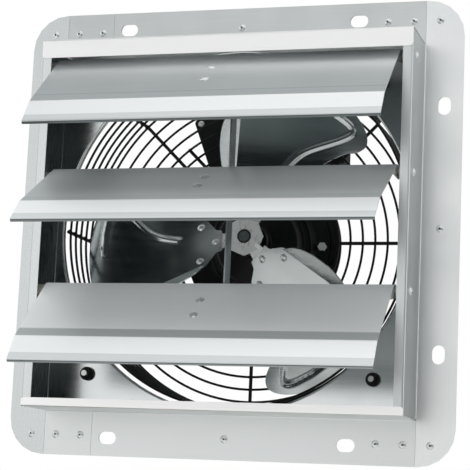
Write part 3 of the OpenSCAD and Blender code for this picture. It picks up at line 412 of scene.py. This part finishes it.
# Outline and rib in shares of the tip's radius, with the angle from the blade's middle line, and the flap
# in shares along the fold and away from it.
blade_outline = [
    (0.145, 14), (0.152, 26), (0.187, 24), (0.225, 28.6), (0.284, 33), (0.335, 30), (0.401, 26.7),
    (0.531, 23.9), (0.662, 22.2), (0.793, 21.1), (0.86, 20.6), (0.91, 19.2), (0.95, 16), (0.975, 11.5),
    (0.99, 5), (0.998, -2), (1, -9), (0.994, -15), (0.982, -20), (0.965, -24.2), (0.94, -28),
    (0.905, -30.6), (0.865, -31.2), (0.82, -30.4), (0.77, -28), (0.727, -26.7), (0.63, -24.6),
    (0.5, -25.2), (0.38, -28.6), (0.285, -32.2), (0.232, -28.4), (0.194, -23.6), (0.157, -24.5),
    (0.145, -12)]
rib_path = [(0.422, -7.2), (0.613, -12.5), (0.886, -23.9), (0.914, -13.9), (0.905, -3.4)]
flap_outline = [
    (0.274, 0.001), (0.3, 0.032), (0.35, 0.08), (0.4, 0.11), (0.465, 0.132), (0.53, 0.143),
    (0.595, 0.143), (0.65, 0.131), (0.7, 0.105), (0.75, 0.07), (0.795, 0.035), (0.83, 0.001)]


def polar(share, degrees):
    """A point of the blade, seen from the front."""
    angle = math.radians(degrees)
    return Vector((share * tip_r * math.cos(angle), share * tip_r * math.sin(angle)))


def spline(points, closed, steps=4):
    """A smooth line through points."""
    n = len(points)
    result = []
    for i in range(n if closed else n - 1):
        p = [points[(i + k) % n] if closed else points[min(max(i + k, 0), n - 1)] for k in (-1, 0, 1, 2)]
        for k in range(steps):
            t = k / steps
            result.append((2 * p[1] + (p[2] - p[0]) * t + (2 * p[0] - 5 * p[1] + 4 * p[2] - p[3]) * t * t
                           + (3 * p[1] - p[0] - 3 * p[2] + p[3]) * t * t * t) / 2)
    return result if closed else result + [points[-1]]


def on_sheet(x, z, behind):
    """The point of the rolled sheet that lies at X and Z, some way behind its front face."""
    low = unroll @ Vector((x, -blade_y, z)) + axis_to_sheet
    up = unroll @ Vector((0, 1, 0))
    a, b = up.y ** 2 + up.z ** 2, 2 * (low.y * up.y + low.z * up.z)
    c = low.y ** 2 + low.z ** 2 - (roll_r + behind) ** 2
    return Vector((x, (-b + math.sqrt(b * b - 4 * a * c)) / (2 * a), z))


def on_flap(u, w, behind):
    """The same for the flat flap, in distances along the fold and away from it."""
    leaf = Matrix.Rotation(math.radians(fold_turn), 3, "X") @ Vector((u, behind, w)) + axis_to_sheet
    folded = Matrix.Rotation(math.radians(fold_angle), 3, "X") @ leaf - axis_to_sheet
    return roll @ folded + Vector((0, blade_y, 0))


def away_from(path, p):
    """Distance from a point to a line."""
    gaps = []
    for a, b in zip(path, path[1:]):
        along = b - a
        t = min(max((p - a).dot(along) / along.length_squared, 0), 1)
        gaps.append((p - a - along * t).length)
    return min(gaps)


def cut_into_grid(outline):
    """The points, faces and rim of an outline that is cut every grid step both ways."""
    flat = bmesh.new()
    flat.faces.new([flat.verts.new((p.x, p.y, 0)) for p in outline])
    for axis in (0, 1):
        low, high = min(p[axis] for p in outline), max(p[axis] for p in outline)
        normal = Vector((1, 0, 0)) if axis == 0 else Vector((0, 1, 0))
        for i in range(1, int((high - low) / grid)):
            everything = list(flat.verts) + list(flat.edges) + list(flat.faces)
            bmesh.ops.bisect_plane(flat, geom=everything, dist=1e-7, plane_co=normal * (low + i * grid),
                                   plane_no=normal)
    flat.verts.index_update()
    points = [Vector((v.co.x, v.co.y)) for v in flat.verts]
    faces = [[v.index for v in f.verts] for f in flat.faces]
    rim = [(e.verts[0].index, e.verts[1].index) for e in flat.edges if len(e.link_faces) == 1]
    flat.free()
    return points, faces, rim


hairpin = spline([polar(*p) for p in rib_path], closed=False, steps=8)
sheet_edge = spline([polar(*p) for p in blade_outline], closed=True)
sheet_points, sheet_faces, sheet_rim = cut_into_grid(sheet_edge)
flap_edge = spline([Vector(p) * tip_r for p in flap_outline], closed=False)
flap_points, flap_faces, flap_rim = cut_into_grid(flap_edge)
rib_gaps = [min(away_from(hairpin, p), rib_half_width) for p in sheet_points]
rib_lift = [rib_height * (0.5 + 0.5 * math.cos(math.pi * gap / rib_half_width)) for gap in rib_gaps]


def blade_mesh(name, turn):
    """One blade: its rolled sheet with the rib, and its flap, turned to its place round the shaft."""
    spin = Matrix.Rotation(math.radians(-arm_angle - turn), 3, "Y")
    solid = bmesh.new()
    for points, faces, rim, place in (
            (sheet_points, sheet_faces, sheet_rim,
             lambda i, p, back: on_sheet(p.x, p.y, back - rib_lift[i])),
            (flap_points, flap_faces, flap_rim, lambda i, p, back: on_flap(p.x, p.y, back))):
        front = [solid.verts.new(spin @ place(i, p, 0)) for i, p in enumerate(points)]
        rear = [solid.verts.new(spin @ place(i, p, sheet_t)) for i, p in enumerate(points)]
        for face in faces:
            solid.faces.new([front[i] for i in face])
            solid.faces.new([rear[i] for i in reversed(face)])
        for a, b in rim:
            solid.faces.new([front[a], front[b], rear[b], rear[a]])
    bmesh.ops.recalc_face_normals(solid, faces=solid.faces)
    for face in solid.faces:
        face.smooth = True
    for edge in solid.edges:
        if edge.is_manifold and edge.calc_face_angle(0) > sharp_angle:
            edge.smooth = False
    mesh = bpy.data.meshes.new(name)
    solid.to_mesh(mesh)
    solid.free()
    return mesh


blade_metal = finish("mill_finish_aluminium", "#b4babb", "#c8cdcd", 1, (0.12, 0.18), (30, 30, 1.5),
                     0.002, cloud_mm=50)
for number, which in enumerate(blades):
    sheet = blade_mesh(which + "_blade_sheet", 360 / len(blades) * number)
    sheet.materials.append(blade_metal)
    new_piece(which + "_blade_sheet", sheet, "rotor", "blade_aluminium", which + "_blade")


# Studio: a pale floor, a white surround, two soft lamps, and dark cards that show in reflections alone.
# The surround lights the fan less than it shows to the camera and in reflections, where the lamps don't
# show at all.
floor_z, floor_half, surround_light = -0.62, 6, 0.6
square = ((-1, -1), (1, -1), (1, 1), (-1, 1))
floor_mesh = bpy.data.meshes.new("floor")
floor_mesh.from_pydata([(floor_half * x, floor_half * y, floor_z) for x, y in square], [], [(0, 1, 2, 3)])
floor = bpy.data.objects.new("floor", floor_mesh)
scene.collection.objects.link(floor)
floor_paint = bpy.data.materials.new("pale_floor")
floor_paint.use_nodes = True
floor_paint.node_tree.nodes["Principled BSDF"].inputs["Base Color"].default_value = linear("#f1f1ef")
floor_paint.node_tree.nodes["Principled BSDF"].inputs["Roughness"].default_value = 0.8
floor_mesh.materials.append(floor_paint)

world = bpy.data.worlds.new("studio")
scene.world = world
world.use_nodes = True
sky = world.node_tree
seen = add(sky, "ShaderNodeLightPath", {})
shine = add(sky, "ShaderNodeMath", {"operation": "MAXIMUM"},
            {0: seen.outputs["Is Camera Ray"], 1: seen.outputs["Is Glossy Ray"]})
clear = add(sky, "ShaderNodeMath", {"operation": "MAXIMUM"},
            {0: shine.outputs[0], 1: seen.outputs["Is Transmission Ray"]})
level = add(sky, "ShaderNodeMapRange", {"To Min": surround_light, "To Max": 1.0},
            {"Value": clear.outputs[0]})
sky.nodes["Background"].inputs["Color"].default_value = (1, 1, 1, 1)
sky.links.new(level.outputs[0], sky.nodes["Background"].inputs["Strength"])


def lamp(name, place, size, power):
    """A square soft lamp that faces the origin."""
    light = bpy.data.lights.new(name, "AREA")
    light.shape, light.size, light.energy = "SQUARE", size, power
    holder = bpy.data.objects.new(name, light)
    scene.collection.objects.link(holder)
    holder.location = place
    holder.rotation_euler = (-Vector(place)).to_track_quat("-Z", "Y").to_euler()
    holder.visible_glossy = False


lamp("top_softbox", (-0.5, -0.5, 2.0), size=1.4, power=24)
lamp("front_softbox", (-0.9, -2.2, 0.7), size=1.2, power=16)


def dark_card(name, direction, away, width, height, shade):
    """A card that faces the origin from some way off, seen in reflections alone."""
    toward = -Vector(direction).normalized()
    side = toward.cross(Vector((0, 0, 1))).normalized()
    up = side.cross(toward)
    middle = -toward * away
    corners = [middle + side * x * width / 2 + up * y * height / 2 for x, y in square]
    mesh = bpy.data.meshes.new(name)
    mesh.from_pydata(corners, [], [(0, 1, 2, 3)])
    card = bpy.data.objects.new(name, mesh)
    scene.collection.objects.link(card)
    paint = bpy.data.materials.new(name)
    paint.use_nodes = True
    tree = paint.node_tree
    tree.nodes.remove(tree.nodes["Principled BSDF"])
    glow = add(tree, "ShaderNodeEmission", {"Color": linear(shade)})
    tree.links.new(glow.outputs[0], tree.nodes["Material Output"].inputs["Surface"])
    mesh.materials.append(paint)
    card.visible_camera = card.visible_diffuse = card.visible_shadow = card.visible_transmission = False


dark_card("card_right_front", (0.55, -0.83, -0.02), 2.2, 2.2, 1.6, "#1c1f20")
dark_card("card_left_above", (-0.45, -0.6, 0.66), 1.8, 1.3, 0.9, "#585e5f")
dark_card("card_above", (-0.2, 0.45, 0.87), 1.8, 3.0, 1.5, "#9aa0a0")
dark_card("card_low_front", (-0.1, -0.55, -0.85), 1.6, 1.8, 1.2, "#c9cccc")
dark_card("card_below", (-0.25, 0.3, -0.93), 0.6, 1.3, 0.6, "#2e3232")
dark_card("card_back_right", (0.4, 0.9, 0.1), 2.4, 2.0, 2.0, "#7d8484")


# Camera: its place, turn and focal length come from a fit to the flange, the box and the rivets of the
# photograph. Angles are in radians, and the focal length is in pixels of the photograph.
yaw, pitch, lean, focal_px = -0.291261, 0.159359, 0.044215, 1706.618
camera_place, sensor_mm, photo_px = (0.426209, -1.415324, -0.242207), 36, 470
ahead = Vector((math.sin(yaw) * math.cos(pitch), math.cos(yaw) * math.cos(pitch), math.sin(pitch)))
level_right = ahead.cross(Vector((0, 0, 1))).normalized()
level_up = level_right.cross(ahead)
right = level_right * math.cos(lean) + level_up * math.sin(lean)
above = -level_right * math.sin(lean) + level_up * math.cos(lean)
camera = bpy.data.objects.new("camera", bpy.data.cameras.new("camera"))
camera.data.sensor_width = sensor_mm
camera.data.lens = focal_px * sensor_mm / photo_px
camera.data.clip_start, camera.data.clip_end = 0.05, 40
stand = Matrix((right, above, -ahead)).transposed().to_4x4()
stand.translation = camera_place
camera.matrix_world = stand
scene.collection.objects.link(camera)
scene.camera = camera
scene.view_settings.view_transform = "Standard"
